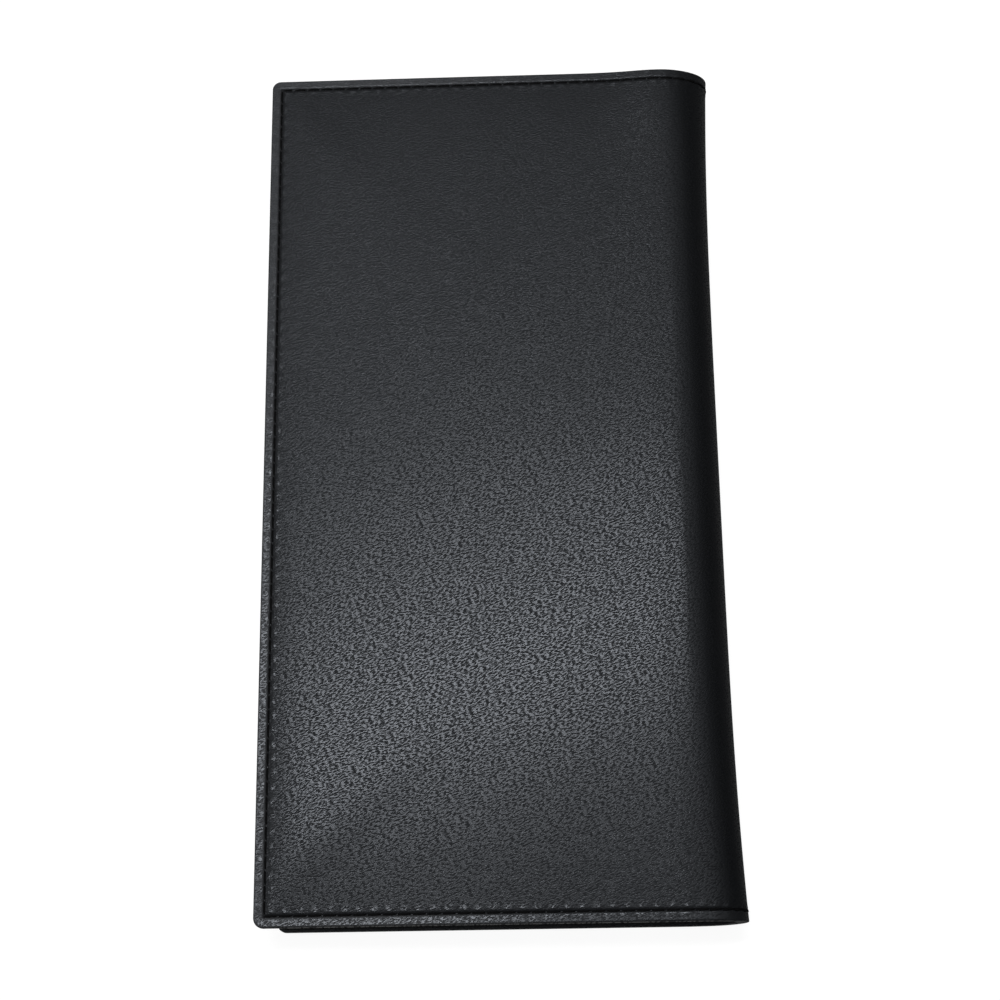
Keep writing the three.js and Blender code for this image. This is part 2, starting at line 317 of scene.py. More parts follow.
def wrap_outward(s):
    """Direction out of the leather's outer face."""
    along = wrap_place(s)[1]
    return Vector((along.z, 0, -along.x))


def rounded(x, y, fore, inward, half, radius):
    """Moves a place near either fore corner of a blank on to rings round the corner's centre."""
    from_fore = radius - inward * (x - fore)
    from_end = radius - (half - abs(y))
    if from_fore <= 0 or from_end <= 0:
        return x, y
    ring = max(from_fore, from_end)
    turn = math.pi / 4 * min(from_fore, from_end) / ring
    angle = turn if from_fore >= from_end else math.pi / 2 - turn
    new_x = fore + inward * (radius - ring * math.cos(angle))
    return new_x, math.copysign(half - radius + ring * math.sin(angle), y)


def roll_drop(distance, reach, height=None):
    """How far a rounded edge has fallen away at a distance inside it."""
    short = min(max(1 - distance / reach, 0), 1)
    return (height or reach) * (1 - math.sqrt(1 - short**2))


def seam_relief(
    distance,
    along,
    margin=STITCH_MARGIN,
    groove=GROOVE_DEPTH,
    reach=PULL_REACH,
    slope=STRIP_SLOPE,
):
    """Depth that a seam pulls the leather down to, beside and between its stitches."""
    away = abs(distance - margin)
    if distance > margin:
        pull = PULL_DEPTH * math.exp(-away / reach)
    else:
        pull = PULL_DEPTH - slope * away
    pull += GROOVE_DEPTH * bell(distance, margin, GROOVE_REACH)
    wave = math.cos(2 * math.pi * along / STITCH_PITCH)
    lobes = bell(distance, margin + PUCKER_PLACE, PUCKER_REACH)
    lobes += PUCKER_OUTSIDE * bell(distance, margin - PUCKER_PLACE, PUCKER_REACH)
    return groove / GROOVE_DEPTH * (pull + PUCKER * (wave - PUCKER_MEAN) * lobes)


def split(bm, place, across):
    """One more line across a blank."""
    geometry = bm.verts[:] + bm.edges[:] + bm.faces[:]
    bmesh.ops.bisect_plane(bm, geom=geometry, dist=GRID_SNAP, plane_co=place, plane_no=across)


def blank(x_ends, y_ends, cell, x_cuts=(), y_cuts=()):
    """Flat rectangle of even cells with extra lines across it."""
    (x_low, x_high), (y_low, y_high) = x_ends, y_ends
    width = x_high - x_low
    length = y_high - y_low
    bm = bmesh.new()
    columns = max(round(width / cell), 1)
    rows = max(round(length / cell), 1)
    bmesh.ops.create_grid(bm, x_segments=columns, y_segments=rows, size=0.5)
    bmesh.ops.scale(bm, vec=(width, length, 1), verts=bm.verts)
    middle = ((x_low + x_high) / 2, (y_low + y_high) / 2, 0)
    bmesh.ops.translate(bm, vec=middle, verts=bm.verts)
    for x in x_cuts:
        split(bm, (x, 0, 0), (1, 0, 0))
    for y in y_cuts:
        split(bm, (0, y, 0), (0, 1, 0))
    return bm


def roll_cuts(roll):
    """Distances from a rolled edge where its section needs a line."""
    turn = math.pi / 2 / ROLL_CUTS
    return [roll * (1 - math.cos(step * turn)) for step in range(1, ROLL_CUTS + 1)]


def seam_cuts(margin, roll):
    """Distances from a sewn edge where its section needs a line."""
    strip = margin - 2 * GROOVE_REACH - roll
    cuts = roll_cuts(roll)
    cuts += [roll + strip * share for share in STRIP_CUTS]
    cuts += [margin + step * GROOVE_CUT for step in range(-3, 4)]
    cuts += [margin + PUCKER_PLACE + step * PUCKER_CUT for step in range(3)]
    return cuts


def refine_seams(bm, distance_to_x_edge, distance_to_y_edge):
    """Splits the long sides of the cells that run along a seam."""
    chosen = []
    for edge in bm.edges:
        a, b = (vert.co for vert in edge.verts)
        run = b - a
        along_y = abs(run.y) > abs(run.x)
        distance = distance_to_x_edge if along_y else distance_to_y_edge
        near_seam = max(distance(a), distance(b)) < SEAM_BAND
        if near_seam and run.length > LONGEST_SEAM_EDGE:
            chosen.append(edge)
    bmesh.ops.subdivide_edges(bm, edges=chosen, cuts=SEAM_SPLITS, use_grid_fill=True)


def shade_smooth(bm):
    for face in bm.faces:
        face.smooth = True


def lay_flat(bm):
    """Keeps each corner's place on the flat leather or cloth as the UV map for the materials."""
    flat = bm.loops.layers.uv.new("blank")
    for face in bm.faces:
        for loop in face.loops:
            loop[flat].uv = loop.vert.co.xy


def close_sheet(bm, face_at, back_at, sharp_x=None):
    """Doubles a flat blank, joins the two round their rim and bends each to its own surface."""
    made = bmesh.ops.duplicate(bm, geom=bm.verts[:] + bm.edges[:] + bm.faces[:])["geom"]
    backs = [item for item in made if isinstance(item, bmesh.types.BMVert)]
    bmesh.ops.translate(bm, vec=(0, 0, SHEET_GAP), verts=backs)
    rim = [edge for edge in bm.edges if edge.is_boundary]
    bmesh.ops.bridge_loops(bm, edges=rim)
    shade_smooth(bm)
    lay_flat(bm)
    for edge in rim:
        if sharp_x is not None and all(abs(v.co.x - sharp_x) < GRID_SNAP for v in edge.verts):
            edge.smooth = False
    for vert in bm.verts:
        surface = back_at if vert.co.z > SHEET_GAP / 2 else face_at
        vert.co = surface(vert.co.x, vert.co.y)
    bmesh.ops.recalc_face_normals(bm, faces=bm.faces)
    if bm.calc_volume(signed=True) < 0:
        bmesh.ops.reverse_faces(bm, faces=bm.faces)
    return bm


def add_object(name, data):
    made = bpy.data.objects.new(name, data)
    bpy.context.scene.collection.objects.link(made)
    return made


def add_mesh(name, bm, finish):
    """Object at the origin from a finished bmesh."""
    mesh = bpy.data.meshes.new(name)
    bm.to_mesh(mesh)
    bm.free()
    mesh.materials.append(finish)
    return add_object(name, mesh)


def piece(name, bm, finish):
    return add_mesh(name, bm, finish)


# Materials


def new_material(name):
    material = bpy.data.materials.new(name)
    material.use_nodes = True
    tree = material.node_tree
    tree.nodes.clear()
    return material, tree


def node(tree, kind, inputs=None, **settings):
    """Node with its settings, and with each named input set to a value or linked to a socket."""
    made = tree.nodes.new(kind)
    for name, value in settings.items():
        setattr(made, name, value)
    for name, value in (inputs or {}).items():
        if isinstance(value, bpy.types.NodeSocket):
            tree.links.new(value, made.inputs[name])
        else:
            made.inputs[name].default_value = value
    return made


def math_node(tree, operation, first, second):
    made = node(tree, "ShaderNodeMath", {0: first, 1: second}, operation=operation)
    return made.outputs["Value"]


def map_range(tree, value, source, target=(0.0, 1.0)):
    """Value held inside one range and drawn out to another."""
    inputs = {
        "Value": value,
        "From Min": source[0],
        "From Max": source[1],
        "To Min": target[0],
        "To Max": target[1],
    }
    return node(tree, "ShaderNodeMapRange", inputs).outputs["Result"]


def mixed(tree, share, first, second):
    """Colour between two others."""
    inputs = {"Factor": share, "A": first, "B": second}
    return node(tree, "ShaderNodeMix", inputs, data_type="RGBA").outputs["Result"]


def bumped(tree, height, distance, strength=1.0):
    inputs = {"Strength": strength, "Distance": distance, "Height": height}
    return node(tree, "ShaderNodeBump", inputs).outputs["Normal"]


def noise_texture(tree, vector, **inputs):
    return node(tree, "ShaderNodeTexNoise", {"Vector": vector, **inputs}).outputs


def wave_texture(tree, vector, direction, **inputs):
    inputs = {"Vector": vector, **inputs}
    return node(tree, "ShaderNodeTexWave", inputs, bands_direction=direction).outputs["Fac"]


def mesh_value(tree, name):
    return node(tree, "ShaderNodeAttribute", attribute_name=name).outputs["Fac"]


def object_place(tree):
    return node(tree, "ShaderNodeTexCoord").outputs["Object"]


def blank_place(tree, turn=0.0):
    """Millimetres along and across the flat leather, so that the grain follows its folds."""
    flat = node(tree, "ShaderNodeUVMap", uv_map="blank").outputs["UV"]
    inputs = {"Vector": flat, "Scale": (1 / MM,) * 3, "Rotation": (0, 0, turn)}
    return node(tree, "ShaderNodeMapping", inputs).outputs["Vector"]


def finish_surface(tree, inputs):
    shader = node(tree, "ShaderNodeBsdfPrincipled", inputs)
    node(tree, "ShaderNodeOutputMaterial", {"Surface": shader.outputs["BSDF"]})


def leather_grain(tree, place, length, width, wander=1.1):
    """Height of a fine grain of short wandering ridges, from 0 to 1, with its sizes in mm."""
    drift = noise_texture(tree, place, Scale=0.09, Detail=0.0)["Color"]
    inputs = {0: drift, 1: (0.5, 0.5, 0.5)}
    centred = node(tree, "ShaderNodeVectorMath", inputs, operation="SUBTRACT").outputs["Vector"]
    inputs = {0: centred, 1: (wander, wander, 0.0), 2: place}
    pushed = node(tree, "ShaderNodeVectorMath", inputs, operation="MULTIPLY_ADD").outputs["Vector"]
    inputs = {"Vector": pushed, "Scale": (1 / length, 1 / width, 1.0)}
    drawn = node(tree, "ShaderNodeMapping", inputs).outputs["Vector"]
    ridges = noise_texture(tree, drawn, Scale=1.0, Detail=0.25, Roughness=0.4, Distortion=0.15)
    return map_range(tree, ridges["Fac"], (0.3, 0.7))


def cover_leather():
    """Black leather with polished plateaus and dull furrows; the strip outside the seam is
    lighter, partly worn leather and partly a painted highlight, and the fold's middle is darkened
    as painted shade.
    """
    furrow_black = (0.006, 0.0064, 0.0071, 1)
    ridge_black = (0.0105, 0.011, 0.012, 1)
    # Near-black for the middle of the fold: painted shade, not the leather's own colour.
    fold_painted_shade_black = (0.0024, 0.0026, 0.0029, 1)
    # Lighter grey for the strip outside the seam: partly worn leather, partly a painted highlight.
    worn_grey_and_painted_highlight = (0.028, 0.0288, 0.0305, 1)
    strongest_wear_and_highlight = 0.7
    fold_dulling = 0.15
    furrow_side = (0.14, 0.6)
    dull_to_polished = (0.7, 0.26)
    material, tree = new_material("black_cover_leather")
    grain = leather_grain(tree, blank_place(tree, GRAIN_TURN), length=0.75, width=0.27)
    plateau = map_range(tree, grain, furrow_side)
    fold = mesh_value(tree, "fold")
    # Share of the strip's lighter grey, partly worn look and partly painted highlight.
    wear_and_painted_highlight = math_node(tree, "MULTIPLY", mesh_value(tree, "rim"), strongest_wear_and_highlight)
    tone = mixed(tree, grain, furrow_black, ridge_black)
    # Darkens the fold's middle towards near-black as painted shade.
    tone_with_painted_fold_shade = mixed(tree, fold, tone, fold_painted_shade_black)
    polish = map_range(tree, plateau, (0.0, 0.9), dull_to_polished)
    dulling = math_node(tree, "MULTIPLY", fold, fold_dulling)
    finish_surface(
        tree,
        {
            "Base Color": mixed(tree, wear_and_painted_highlight, tone_with_painted_fold_shade, worn_grey_and_painted_highlight),
            "Roughness": math_node(tree, "ADD", polish, dulling),
            "Normal": bumped(tree, plateau, 0.021 * MM),
            "Specular IOR Level": 0.175,
            "Specular Tint": (0.87, 0.92, 1.0, 1),
        },
    )
    return material


def inner_leather():
    """Finer and duller black leather of the pockets, slots and wing."""
    furrow_black = (0.0055, 0.0057, 0.0062, 1)
    ridge_black = (0.0105, 0.0108, 0.0115, 1)
    furrow_side = (0.12, 0.6)
    dull_to_polished = (0.62, 0.34)
    material, tree = new_material("black_inner_leather")
    grain = leather_grain(tree, blank_place(tree, GRAIN_TURN), length=0.6, width=0.3)
    finish_surface(
        tree,
        {
            "Base Color": mixed(tree, grain, furrow_black, ridge_black),
            "Roughness": map_range(tree, grain, furrow_side, dull_to_polished),
            "Normal": bumped(tree, grain, 0.02 * MM),
            "Specular IOR Level": 0.2,
        },
    )
    return material


def waxed_thread():
    """Black waxed thread with the lie of its strands."""
    dark_strand = (0.001, 0.001, 0.0011, 1)
    light_strand = (0.002, 0.002, 0.0022, 1)
    material, tree = new_material("black_thread")
    strands = wave_texture(tree, object_place(tree), "DIAGONAL", Scale=900.0, Distortion=2.0)
    finish_surface(
        tree,
        {
            "Base Color": mixed(tree, strands, dark_strand, light_strand),
            "Roughness": 0.8,
            "Normal": bumped(tree, strands, 0.05 * MM, 0.6),
            "Specular IOR Level": 0.06,
        },
    )
    return material


def lining_cloth():
    """Thin black twill."""
    dark_yarn = (0.008, 0.0075, 0.007, 1)
    light_yarn = (0.03, 0.028, 0.026, 1)
    material, tree = new_material("black_lining_cloth")
    place = blank_place(tree, math.radians(30))
    warp = wave_texture(tree, place, "X", Scale=0.75, Distortion=0.4, Detail=1.0)
    weft = wave_texture(tree, place, "Y", Scale=0.5, Distortion=0.6)
    weave = math_node(tree, "MULTIPLY", warp, weft)
    finish_surface(
        tree,
        {
            "Base Color": mixed(tree, weave, dark_yarn, light_yarn),
            "Roughness": 0.8,
            "Sheen Weight": 0.2,
            "Normal": bumped(tree, weave, 0.08 * MM, 0.8),
        },
    )
    return material


def clear_vinyl():
    """Soft clear sheet with faint ripples."""
    material, tree = new_material("clear_vinyl")
    ripples = noise_texture(tree, blank_place(tree), Scale=0.12, Detail=2.0)["Fac"]
    finish_surface(
        tree,
        {
            "Base Color": (0.93, 0.95, 0.96, 1),
            "Roughness": map_range(tree, ripples, (0.3, 0.7), (0.06, 0.14)),
            "Transmission Weight": 1.0,
            "IOR": 1.45,
            "Normal": bumped(tree, ripples, 0.3 * MM, 0.5),
        },
    )
    return material


def fibre_board():
    """Grey-brown stiffening board with short fibres."""
    dark_fibre = (0.16, 0.135, 0.1, 1)
    light_fibre = (0.26, 0.225, 0.175, 1)
    material, tree = new_material("fibre_board")
    place = object_place(tree)
    fibres = noise_texture(tree, place, Scale=900.0, Detail=4.0, Distortion=1.0)["Fac"]
    finish_surface(
        tree,
        {
            "Base Color": mixed(tree, fibres, dark_fibre, light_fibre),
            "Roughness": 0.9,
            "Normal": bumped(tree, fibres, 0.05 * MM, 0.4),
        },
    )
    return material


COVER = cover_leather()
INNER = inner_leather()
THREAD = waxed_thread()
CLOTH = lining_cloth()
VINYL = clear_vinyl()
BOARD = fibre_board()


# Outer leather


def cover_distance(s, y):
    """Distance inside the nearest sewn edge of the blank."""
    return min(s, wrap_length - s, half_length - abs(y))


def swell(s, y):
    """Rise of the back leaf beside the spine at its head, less its droop at the foot."""
    past = s - back_fold
    rise = bell(past, 0, SWELL_ON_LEAF if past > 0 else SWELL_ON_FOLD)
    fall = bell(past, 0, DROOP_ON_LEAF if past > 0 else SWELL_ON_FOLD)
    at_head = SWELL_HEAD * bell(y, half_length, SWELL_FADE)
    at_foot = DROOP_FOOT * bell(y, -half_length, DROOP_FADE)
    return rise * at_head - fall * at_foot


def slack(s, y):
    """Gentle waves of the back leaf, none at its sewn edges."""
    if s < back_fold:
        return 0.0
    waves = noise.noise(Vector((s / SLACK_LENGTH, y / SLACK_LENGTH, SLACK_LAYER)))
    return SLACK * waves * smooth(cover_distance(s, y), 0, SLACK_FROM_EDGE)


def cover_round(s, y):
    """Place on the blank with its corners rounded."""
    fore = 0 if s < mid_spine else wrap_length
    inward = 1 if s < mid_spine else -1
    return rounded(s, y, fore, inward, half_length, CORNER_RADIUS)


def seam_share(s):
    """Share of the seam's depth, less on the fold, where nothing padded lies under it."""
    return 1 - FOLD_SEAM_EASE * bell(s, mid_spine, fold_length / 3)


def strip_share(s):
    """Share of the sewn strip's lift and of its lighter colour, partly worn leather and partly a
    painted highlight, less and less towards the fold.
    """
    return 1 - STRIP_FADE * smooth(min(s, wrap_length - s), LEAF_WIDTH / 4, LEAF_WIDTH)


def cover_relief(s, y):
    """Rolled edge and seam; the seam pulls over a longer reach at the head and foot."""
    from_fore = min(s, wrap_length - s)
    from_end = half_length - abs(y)
    distance = min(from_fore, from_end)
    along = y if from_fore < from_end else s
    nearer_end = smooth(from_fore - from_end, -PULL_TURN, PULL_TURN)
    reach = PULL_REACH + (PULL_REACH_ENDS - PULL_REACH) * nearer_end
    slope = STRIP_SLOPE * strip_share(s)
    seam = seam_share(s) * seam_relief(distance, along, reach=reach, slope=slope)
    return roll_drop(distance, EDGE_ROLL, EDGE_DROP) + seam


def cover_face(s, y):
    """Outer face of the leather."""
    new_s, new_y = cover_round(s, y)
    depth = cover_relief(s, y) - swell(s, y) - slack(s, y)
    return wrap_point(new_s, new_y, depth)


def cover_back(s, y):
    """Inner face of the leather, deeper along the turned-in hem."""
    new_s, new_y = cover_round(s, y)
    distance = cover_distance(s, y)
    pared = min(max((distance - HEM_WIDTH) / HEM_SKIVE, 0), 1)
    turned_in = hem_depth + (LEATHER - hem_depth) * pared
    depth = turned_in - roll_drop(distance, EDGE_ROLL, EDGE_DROP) - swell(s, y) - slack(s, y)
    return wrap_point(new_s, new_y, depth)


def mark(made, name, values):
    """Keeps a value for each vertex on the mesh, for its material."""
    kept = made.data.attributes.new(name, "FLOAT", "POINT")
    kept.data.foreach_set("value", values)


def edge_wear_and_painted_highlight(s, y):
    """Lighter colour of the strip outside the seam, partly worn leather and partly a painted
    highlight, from 0 to 1.
    """
    seam_low = STITCH_MARGIN - GROOVE_REACH
    seam_high = STITCH_MARGIN + GROOVE_REACH
    return strip_share(s) * (1 - smooth(cover_distance(s, y), seam_low, seam_high))


def fold_dullness_and_painted_shade(s):
    """Dull and darkened band along the middle of the fold, from 0 to 1; the darkening is painted
    shade.
    """
    return 1 - smooth(abs(s - mid_spine), fold_length * DULL_AND_SHADED_FULL, fold_length * DULL_AND_SHADED_END)


def cover_half(name, start, end):
    """Half of the blank, from one fore-edge to the middle of the spine."""
    fore = start == 0
    cuts = seam_cuts(STITCH_MARGIN, EDGE_ROLL) + [HEM_WIDTH, HEM_WIDTH + HEM_SKIVE]
    across = [mid_spine - JOINT_LINE if fore else mid_spine + JOINT_LINE]
    across += [cut if fore else wrap_length - cut for cut in cuts]
    bends = round(fold_length / COVER_CELL * FOLD_FINENESS)
    for step in range(bends + 1):
        bend = LEAF_WIDTH + fold_length * step / bends
        if start + COVER_CELL < bend < end - COVER_CELL:
            across.append(bend)
    along = [half_length - cut for cut in cuts]
    along += [-y for y in along]
    bm = blank((start, end), (-half_length, half_length), COVER_CELL, across, along)
    refine_seams(
        bm, lambda co: min(co.x, wrap_length - co.x), lambda co: half_length - abs(co.y)
    )
    close_sheet(bm, cover_face, cover_back, sharp_x=mid_spine)
    made = piece(name, bm, COVER)
    flat = made.data.uv_layers["blank"].data
    # rim holds the strip's lighter colour, partly worn look and partly painted highlight.
    rim = [0.0] * len(made.data.vertices)
    # fold holds the fold's dullness and its painted shade.
    fold = [0.0] * len(made.data.vertices)
    for loop in made.data.loops:
        s, y = flat[loop.index].uv
        rim[loop.vertex_index] = edge_wear_and_painted_highlight(s, y)
        fold[loop.vertex_index] = fold_dullness_and_painted_shade(s)
    mark(made, "rim", rim)
    mark(made, "fold", fold)
    return made


def fold_place(share):
    """Point on the outer face at a share of the fold."""
    return wrap_point(LEAF_WIDTH + share * fold_length, half_length, 0)


def follow_lower_fold(made):
    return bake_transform(made, "front_leaf", "spine", start=fold_place(0), end=fold_place(0.5))


def follow_upper_fold(made):
    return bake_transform(made, "spine", "back_leaf", start=fold_place(0.5), end=fold_place(1))


# Stitches


def stitch(bm, middle, along, outward, slant=STITCH_SLANT):
    """One stitch, a short thread that dips into its holes."""
    across = outward.cross(along).normalized()
    turned = (along * math.cos(slant) + across * math.sin(slant)).normalized()
    across = outward.cross(turned).normalized()
    sizes = Matrix.Diagonal((STITCH_WIDTH, STITCH_HEIGHT, STITCH_LENGTH, 1))
    axes = Matrix((across, outward, turned)).transposed().to_4x4()
    bmesh.ops.create_uvsphere(
        bm,
        u_segments=STITCH_SIDES,
        v_segments=STITCH_RINGS,
        radius=0.5,
        matrix=Matrix.Translation(middle) @ axes @ sizes,
    )


def thread_piece(name, bm):
    shade_smooth(bm)
    return piece(name, bm, THREAD)


def stitch_places(low, high):
    """Middles of an even row of stitches between two ends, on the pitch of the puckers."""
    first = math.ceil(low / STITCH_PITCH - 0.5)
    last = math.floor(high / STITCH_PITCH - 0.5)
    return [(step + 0.5) * STITCH_PITCH for step in range(first, last + 1)]


def cover_stitches(name, start, end):
    """Seam of half of the blank, down its fore-edge and across its head and foot."""
    bm = bmesh.new()
    fore = STITCH_MARGIN if start == 0 else wrap_length - STITCH_MARGIN
    far = half_length - STITCH_MARGIN
    for y in stitch_places(-far, far):
        stitch(bm, wrap_point(fore, y, STITCH_DEPTH), ALONG_Y, wrap_outward(fore))
    near_s, far_s = (fore, end) if start == 0 else (start, fore)
    rows = stitch_places(near_s, far_s)
    for y in (far, -far):
        for s in rows:
            depth = seam_share(s) * STITCH_DEPTH - swell(s, y)
            middle = wrap_point(s, y, depth)
            run = wrap_point(s + LAYER_GAP, y, depth) - wrap_point(s - LAYER_GAP, y, depth)
            first = y > 0 and s == (rows[0] if start == 0 else rows[-1])
            slant = FIRST_STITCH_SLANT if first else STITCH_SLANT
            stitch(bm, middle, run.normalized(), wrap_outward(s), slant)
    return thread_piece(name, bm)


def add_covers():
    lower = cover_half("cover_lower", 0, mid_spine)
    follow_lower_fold(lower)
    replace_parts(lower, "front_cover", "spine_cover")
    upper = cover_half("cover_upper", mid_spine, wrap_length)
    follow_upper_fold(upper)
    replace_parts(upper, "back_cover")
    lower_seam = cover_stitches("seam_lower", 0, mid_spine)
    follow_lower_fold(lower_seam)
    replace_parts(lower_seam, "front_seam", "spine_head_seam", "spine_foot_seam")
    upper_seam = cover_stitches("seam_upper", mid_spine, wrap_length)
    follow_upper_fold(upper_seam)
    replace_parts(upper_seam, "back_seam")


# Linings


def wrap_run(start, end, depth):
    """Length along the wrap at a depth under its outer face."""
    marks = [start + (end - start) * step / RUN_STEPS for step in range(RUN_STEPS + 1)]
    points = [wrap_point(s, half_length, depth) for s in marks]
    return sum((after - before).length for before, after in zip(points, points[1:]))


def lining_half(name, start, end):
    """Cloth that lines one leaf and half of the spine, inside the leather's turned edges."""
    reach = lining_high.y
    bm = blank((start, end), (-reach, reach), COVER_CELL)
    close_sheet(
        bm,
        lambda s, y: wrap_point(s, y, lining_low.z),
        lambda s, y: wrap_point(s, y, lining_high.z),
        sharp_x=mid_spine,
    )
    made = piece(name, bm, CLOTH)
    run = wrap_run(start, end, (lining_low.z + lining_high.z) / 2)
    return made


def add_linings():
    edge = lining_low.x - front_low.x
    lower = lining_half("lining_lower", edge, mid_spine)
    follow_lower_fold(lower)
    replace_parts(lower, "front_lining", "spine_lining")
    upper = lining_half("lining_upper", mid_spine, wrap_length - edge)
    follow_upper_fold(upper)
    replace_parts(upper, "back_lining")


# Inner panels


def panel_distance(x, y):
    """Distances from the fore-edge and ends of a panel, and from its mouth."""
    fore = PANEL_INSET - LEAF_WIDTH
    return x - fore, half_length - PANEL_INSET - abs(y), MOUTH_REACH - x


def panel_relief(x, y):
    """How far a panel's face lies under its flat, at its rolled edges and seams."""
    from_fore, from_end, from_mouth = panel_distance(x, y)
    margin = STITCH_MARGIN - PANEL_INSET
    sewn = min(from_fore, from_end)
    along = y if from_fore < from_end else x
    drop = roll_drop(min(sewn, from_mouth), PANEL_ROLL)
    return drop + max(
        seam_relief(sewn, along, margin, INNER_GROOVE),
        seam_relief(from_mouth, y, MOUTH_SEAM, INNER_GROOVE),
    )


def inner_panel(name, place):
    """Full-length leather panel, sewn on three sides and open towards the spine."""
    fore = PANEL_INSET - LEAF_WIDTH
    half = half_length - PANEL_INSET
    margin = STITCH_MARGIN - PANEL_INSET
    cuts = seam_cuts(margin, PANEL_ROLL)
    across = [fore + cut for cut in cuts]
    across += [MOUTH_REACH - cut for cut in seam_cuts(MOUTH_SEAM, PANEL_ROLL)]
    along = [half - cut for cut in cuts]
    along += [-y for y in along]
    bm = blank((fore, MOUTH_REACH), (-half, half), PANEL_CELL, across, along)
    refine_seams(
        bm, lambda co: min(co.x - fore, MOUTH_REACH - co.x), lambda co: half - abs(co.y)
    )

    def face_at(x, y):
        new_x, new_y = rounded(x, y, fore, 1, half, PANEL_CORNER)
        return place @ Vector((new_x, new_y, panel_face - panel_relief(x, y)))

    def back_at(x, y):
        new_x, new_y = rounded(x, y, fore, 1, half, PANEL_CORNER)
        drop = roll_drop(min(panel_distance(x, y)), PANEL_ROLL)
        return place @ Vector((new_x, new_y, panel_depth + drop))

    close_sheet(bm, face_at, back_at)
    return piece(name, bm, INNER)


def leaf_stitch(bm, place, x, y, height, along):
    """Stitch on the inside of a leaf."""
    rotation = place.to_3x3()
    middle = place @ Vector((x, y, height - INNER_STITCH_DEPTH))
    stitch(bm, middle, rotation @ along, rotation @ UP)


def panel_stitches(name, place, last_y):
    """Stitches along a panel's first end, and on its other sides as far as a place along it."""
    bm = bmesh.new()
    fore = STITCH_MARGIN - LEAF_WIDTH
    far = half_length - STITCH_MARGIN
    mouth = MOUTH_REACH - MOUTH_SEAM
    for y in stitch_places(-far, min(last_y, far)):
        leaf_stitch(bm, place, fore, y, panel_face, ALONG_Y)
        leaf_stitch(bm, place, mouth, y, panel_face, ALONG_Y)
    for x in stitch_places(fore, mouth):
        leaf_stitch(bm, place, x, -far, panel_face, ALONG_X)
        if last_y > far:
            leaf_stitch(bm, place, x, far, panel_face, ALONG_X)
    return thread_piece(name, bm)


# Card slots


slot_low, slot_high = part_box("card_slot_1")
slot_length = slot_high.y - slot_low.y
mouth_rise = (SLOT_THICKNESS + SLOT_CLEARANCE) * slot_length / SLOT_STEP
first_mouth = -slot_high.y
pocket_mouth = first_mouth + SLOT_COUNT * SLOT_STEP
pocket_length = half_length - SLOT_INSET - pocket_mouth


def strip_height(from_mouth, length):
    """Height of the underside of a slot strip, raised at its mouth and down at its tail."""
    return slot_depth + mouth_rise * (1 - from_mouth / length)


def slot_strip(name, mouth, length):
    """Leather strip with a turned mouth, a creased line beside it and a seam down either side."""
    fore = SLOT_INSET - LEAF_WIDTH
    cuts = roll_cuts(SLOT_ROLL)
    lines = [CREASE_PLACE + step * CREASE_CUT for step in range(-2, 3)]
    across = [fore + cut for cut in seam_cuts(SLOT_MARGIN, SLOT_ROLL)]
    across += [MOUTH_REACH - cut for cut in seam_cuts(MOUTH_SEAM, SLOT_ROLL)]
    along = [mouth + cut for cut in cuts + lines] + [mouth + length - cut for cut in cuts]
    bm = blank((fore, MOUTH_REACH), (mouth, mouth + length), PANEL_CELL, across, along)
    refine_seams(bm, lambda co: min(co.x - fore, MOUTH_REACH - co.x), lambda co: SEAM_BAND)

    def seams(x, y):
        return max(
            seam_relief(x - fore, y, SLOT_MARGIN, INNER_GROOVE),
            seam_relief(MOUTH_REACH - x, y, MOUTH_SEAM, INNER_GROOVE),
        )

    def edge_drop(x, y):
        nearest = min(x - fore, MOUTH_REACH - x, y - mouth, mouth + length - y)
        return roll_drop(nearest, SLOT_ROLL)

    def face_at(x, y):
        from_mouth = y - mouth
        height = strip_height(from_mouth, length) + SLOT_THICKNESS
        height -= edge_drop(x, y) + seams(x, y)
        height -= CREASE_DEPTH * bell(from_mouth, CREASE_PLACE, CREASE_REACH)
        return back_place @ Vector((x, y, height))

    def back_at(x, y):
        return back_place @ Vector((x, y, strip_height(y - mouth, length) + edge_drop(x, y)))

    close_sheet(bm, face_at, back_at)
    return piece(name, bm, INNER)


def slot_stitches():
    """Seams that hold the slot strips at the fore-edge, beside the spine and at the foot."""
    bm = bmesh.new()
    far = half_length - STITCH_MARGIN
    sides = (SLOT_INSET + SLOT_MARGIN - LEAF_WIDTH, MOUTH_REACH - MOUTH_SEAM)
    for y in stitch_places(first_mouth + CREASE_PLACE, far - STITCH_PITCH):
        steps = min(math.floor((y - first_mouth) / SLOT_STEP), SLOT_COUNT)
        length = pocket_length if steps == SLOT_COUNT else slot_length
        from_mouth = y - first_mouth - steps * SLOT_STEP
        if from_mouth < STITCH_PITCH / 2:
            continue
        height = strip_height(from_mouth, length) + SLOT_THICKNESS
        for x in sides:
            leaf_stitch(bm, back_place, x, y, height, ALONG_Y)
    for x in stitch_places(*sides):
        height = strip_height(far - pocket_mouth, pocket_length) + SLOT_THICKNESS
        leaf_stitch(bm, back_place, x, far, height + INNER_GROOVE, ALONG_X)
    return thread_piece("slot_stitches", bm)


